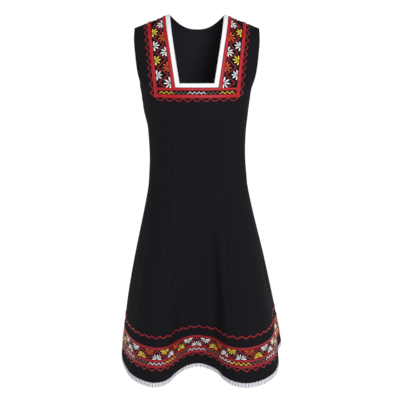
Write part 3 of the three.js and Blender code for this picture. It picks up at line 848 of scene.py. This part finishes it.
def makeNeckBand():
    band = neckBand
    for name, inner, outer, wider in (("neck_tape", "tapeInner", "tapeOuter", band["tapeWider"]),
                                      ("neck_frame", "frameInner", "frameOuter", 0)):
        # the tape beside the lace is a little wider down the straps than under the neckline
        edge = neckLinePath(outer)
        onStrap = edge[:, 1] > yOfZ(neckLines[outer][2]) + 0.01
        edge[:, 0] += np.sign(edge[:, 0]) * wider * onStrap
        run = bandGrid(neckLinePath(inner), edge, band["tapeRise"], neckAt)
        bundlePieces(name + "_satin", [run], threads["red"], [name])
    for name, side in (("neck_bar_right", -1), ("neck_bar_left", 1)):
        share = np.linspace(-0.05, 1.05, 24)
        lines = []
        for y in (yOfZ(neckLines["tapeOuter"][2]), yOfZ(band["barTop"])):
            x = lerp(neckX("tapeOuter", y), neckX("frameInner", y), share)
            lines.append(np.stack([side * x, np.full(24, y)], -1))
        bundlePieces(name + "_satin", [bandGrid(*lines, band["barRise"], neckAt)], threads["red"], [name])

    red, coloured = [], {}
    pitch = band["flowerPitch"]
    for side in (-1, 1):
        # zigzag between the flowers: outermost beside an inner flower
        y = np.linspace(-6.0, strapTop - 3, 240)
        swing = softTriangle((y - band["innerStart"]) / pitch + 0.25, 0.97)
        x = lerp(neckX("tapeOuter", y) + band["innerInset"], neckX("frameInner", y) - band["outerInset"],
                 0.5 + 0.5 * swing)
        red.append(runGrid(np.stack([side * x, y], -1), band["fieldWidth"], band["fieldRise"], neckAt))
        # teeth outside the frame, cut across the corner and on as scallops to the middle
        tips = band["toothTips"]
        toothY = np.linspace(tips[0], strapTop - 3, 260)
        out = 0.5 + 0.5 * softTriangle(np.interp(toothY, tips, np.arange(len(tips))) + 0.25, 0.94)
        toothX = neckX("frameOuter", toothY) + 1.0 + band["toothReach"] * out
        dipX = np.linspace(0, (band["dips"] - 1) / 2 * band["dipPitch"], 130)
        dip = np.abs(np.cos(np.pi * dipX / band["dipPitch"])) ** 1.3
        dipY = yOfZ(neckLines["frameOuter"][2]) - band["dipDepth"] * dip
        path = np.concatenate([np.stack([dipX, dipY], -1)[:-1],
                               np.array([(dipX[-1] + 3, dipY[-1] + 0.4), *band["cornerTurn"]]),
                               np.stack([toothX, toothY], -1)])
        length = lengthsAlong(path)
        even = np.linspace(0, 1, 560) * length[-1]
        path = np.stack([np.interp(even, length, path[:, k]) for k in (0, 1)], -1)
        red.append(runGrid(path * np.array([side, 1]), band["toothWidth"], band["toothRise"], neckAt))
        for line, start, colours, away in (("tapeOuter", band["innerStart"], band["innerColours"], 1),
                                           ("frameInner", band["outerStart"], band["outerColours"], -1)):
            for k, colour in enumerate(colours):
                y = start + k * pitch
                slope = (neckX(line, y + 2) - neckX(line, y - 2)) / 4
                up = unit(np.array([side * slope, 1.0]))
                out = np.array([up[1], -up[0]]) * side * away
                centre = np.array([side * neckX(line, y), y]) + out * band["flowerOff"]
                size = band["firstFlower"] if k == 0 and away > 0 else 1
                coloured.setdefault(colour, []).append((centre, (up * size, out * size)))
    bundlePieces("neck_zigzags", red, threads["dullRed"])

    for colour, flowers in coloured.items():
        centres, ways = (np.array(part) for part in zip(*flowers))
        paths, body = petalPaths(centres, ways, band["flowerReach"], band)
        run = runGrid(paths, body * band["petalWidth"], body * band["petalRise"], neckAt, sides=6)
        bundlePieces("neck_flowers_" + colour, [run], threads[colour])

    for colour in ("white", "green", "yellow"):
        runs = []
        for start, end, turns, own in band["chains"]:
            if own == colour:
                turn = np.linspace(0, turns, turns * 12 + 1)
                x = lerp(start + 0.8, end - 0.8, turn / turns)
                y = band["chainY"] + band["chainSwing"] * softTriangle(turn - 0.25, 0.95)
                runs.append(runGrid(np.stack([x, y], -1), band["chainWidth"], band["chainRise"], neckAt))
        bundlePieces("neck_chain_" + colour, runs, threads[colour])


makeNeckBand()
print("neckline embroidered")

# Lace: a cotton edging with a picot edge round the neckline, and rows of crochet knots under the hem
laceLook = dict(
    neckRise=1.5, neckKnotPitch=3.0, neckRows=3, neckWidth=12, picotPitch=6.0, picotReach=0.09,
    hemTop=-1047.0, hemBottom=-1066.2, hemScallop=2.6, hemBehind=-2.3, hemThickness=1.1,
    knotPitch=6.6, knotRise=1.4, knotRows=4,
)


def makeNeckLace():
    # across from the cut edge to the tape; rows of small knots raise it and picots edge both sides
    inner, outer = neckLinePath("laceInner", 260, 130), neckLinePath("laceOuter", 260, 130)
    length = lengthsAlong((inner + outer) / 2)[:, None]
    share = np.linspace(0, 1, 10)
    knots = np.abs(np.sin(np.pi * length / laceLook["neckKnotPitch"])
                   * np.sin(np.pi * share * laceLook["neckRows"]))
    picot = laceLook["picotReach"] * (0.5 - 0.5 * np.cos(2 * np.pi * length / laceLook["picotPitch"]))
    width = share + np.where(share > 0.9, picot, 0) - np.where(share < 0.1, picot, 0)
    crown = np.sqrt(1 - np.clip(np.abs(share * 2 - 1), 0, 0.97) ** 4)
    top = laceLook["neckRise"] * (0.62 + 0.38 * knots) * crown
    under = np.array([0.75, 0.25])
    section = np.concatenate([width, np.broadcast_to(under, (len(length), 2))], 1)
    lift = np.concatenate([top + 0 * length, np.full((len(length), 2), 0.15)], 1)
    place = inner[:, None] + (outer - inner)[:, None] * section[..., None]
    points = neckAt(place[..., 0], place[..., 1], lift)
    uv = np.stack([length + 0 * section, section * laceLook["neckWidth"]], -1) / 1000
    bundlePieces("neck_lace_edging", [(points, uv, False)], laceCotton, ["neck_lace"])


def makeHemLace():
    # rows of knots, each row half a knot on from the one above: |sin| bumps along and down; the
    # lower edge is scalloped, one scallop to a knot
    s = np.linspace(0, skirtGirth, 1921)[:-1][:, None]
    knotCount = round(skirtGirth / laceLook["knotPitch"])
    turn = s / skirtGirth * knotCount
    down = np.linspace(0, 1, 21)[None, :]
    bottom = laceLook["hemBottom"] - laceLook["hemScallop"] * np.abs(np.sin(np.pi * turn))
    z = lerp(laceLook["hemTop"], bottom, down)
    row = np.floor(down * (laceLook["knotRows"] - 0.001))
    knots = np.abs(np.sin(np.pi * (turn + row / 2)) * np.sin(np.pi * down * laceLook["knotRows"]))
    belowCloth = smoothStep(down, 0.34, 0.42)  # the part behind the cloth is flat
    lift = laceLook["hemBehind"] + laceLook["knotRise"] * knots ** 0.8 * belowCloth
    backZ = z[:, [-1, 10, 0]]
    outer = skirtAt(s + 0 * z, z, lift)
    inner = skirtAt(s + 0 * backZ, backZ, laceLook["hemBehind"] - laceLook["hemThickness"])
    points = np.concatenate([outer, inner], 1)
    uv = np.stack([np.broadcast_to(s, points.shape[:2]), np.concatenate([z, backZ], 1)], -1) / 1000
    bundlePieces("hem_lace_crochet", [(points, uv, True)], crochetCottonPaintedShade, ["hem_lace"])


makeNeckLace()
makeHemLace()
print("lace sewn on")

# The glowing floor and backdrop, the light and the camera
stageLook = dict(
    floorZ=-1.42, radius=5.6, bend=1.6, height=5.5, around=96,
    emission=1.02, frontGlow=0.34, frontY=-1.5, backY=0.3,
)


def makeStage():
    # a round floor that turns up on a quarter circle into a wall all round; it is nearly black and glows,
    # painted light that lights the dress, brighter behind the dress and dimmer in front
    turn = np.linspace(0, math.pi / 2, 16)
    bend = stageLook["bend"]
    reach = np.r_[stageLook["radius"] - bend + bend * np.sin(turn), stageLook["radius"]]
    z = np.r_[bend - bend * np.cos(turn), stageLook["height"]] + stageLook["floorZ"]
    around = stageLook["around"]
    angle = np.arange(around) * 2 * math.pi / around
    x, y = np.outer(np.cos(angle), reach), np.outer(np.sin(angle), reach)
    ring = np.stack([x, y, np.tile(z, (around, 1))], -1)
    points = np.concatenate([ring.reshape(-1, 3), [[0, 0, stageLook["floorZ"]]]])
    first = np.arange(around) * len(z)
    fan = np.stack([np.full(around, len(points) - 1), first, np.roll(first, -1)], -1)
    quads = gridFaces(around, len(z), closeRows=True)[:, ::-1]
    # the sweep is nearly black and glows: its glow is painted light that lights the dress, dimmer towards
    # the front
    material, nodes, links, shader = newMaterial("glowingStageSheet")
    place = addNode(nodes, "ShaderNodeTexCoord")
    split = addNode(nodes, "ShaderNodeSeparateXYZ")
    depth = addNode(nodes, "ShaderNodeMapRange")
    setInputs(depth, {"From Min": stageLook["frontY"], "From Max": stageLook["backY"]})
    tone = ramp(nodes, [(0.0, (stageLook["frontGlow"],) * 3), (1.0, (1, 1, 1))])
    connect(links, (place, "Object", split, "Vector"), (split, "Y", depth, "Value"),
            (depth, "Result", tone, "Fac"), (tone, "Color", shader, "Emission Color"))
    setInputs(shader, {
        "Base Color": (0.03, 0.03, 0.03, 1), "Roughness": 0.95, "Specular IOR Level": 0.0,
        "Emission Strength": stageLook["emission"],
    })
    sweep = addMesh("studio_sweep", points, quads.tolist() + fan.tolist(), material)


makeStage()

lights = dict(
    keyLight=dict(place=(1.1, -3.4, 0.9), power=88),
    fillLight=dict(place=(-0.9, -3.4, 1.0), power=16),
)
lightSize = (1.2, 1.4)
lightTarget = (0, 0, -0.5)


def addLight(name, place, power):
    data = bpy.data.lights.new(name, "AREA")
    data.shape = "RECTANGLE"
    data.size, data.size_y = lightSize
    data.energy = power
    light = addObject(name, data)
    light.location = place
    x, y, z = (there - here for here, there in zip(place, lightTarget))
    light.rotation_euler = (math.atan2(math.hypot(x, y), -z), 0, math.atan2(x, -y) + math.pi)


for lightName, light in lights.items():
    addLight(lightName, **light)
world = bpy.data.worlds.new("studioWorld")
bpy.context.scene.world = world
world.use_nodes = True
setInputs(world.node_tree.nodes["Background"], {"Color": (1, 1, 1, 1), "Strength": 0.14})
bpy.context.scene.view_settings.view_transform = "Standard"

cameraLook = dict(place=(0.009, -2.25, 0.0), lookDown=13.88, lens=67.03, sensor=36)
cameraData = bpy.data.cameras.new("camera")
cameraData.sensor_width = cameraLook["sensor"]
cameraData.lens = cameraLook["lens"]
camera = addObject("camera", cameraData)
camera.location = cameraLook["place"]
camera.rotation_euler = (math.radians(90 - cameraLook["lookDown"]), 0, 0)
bpy.context.scene.camera = camera
print("studio ready")
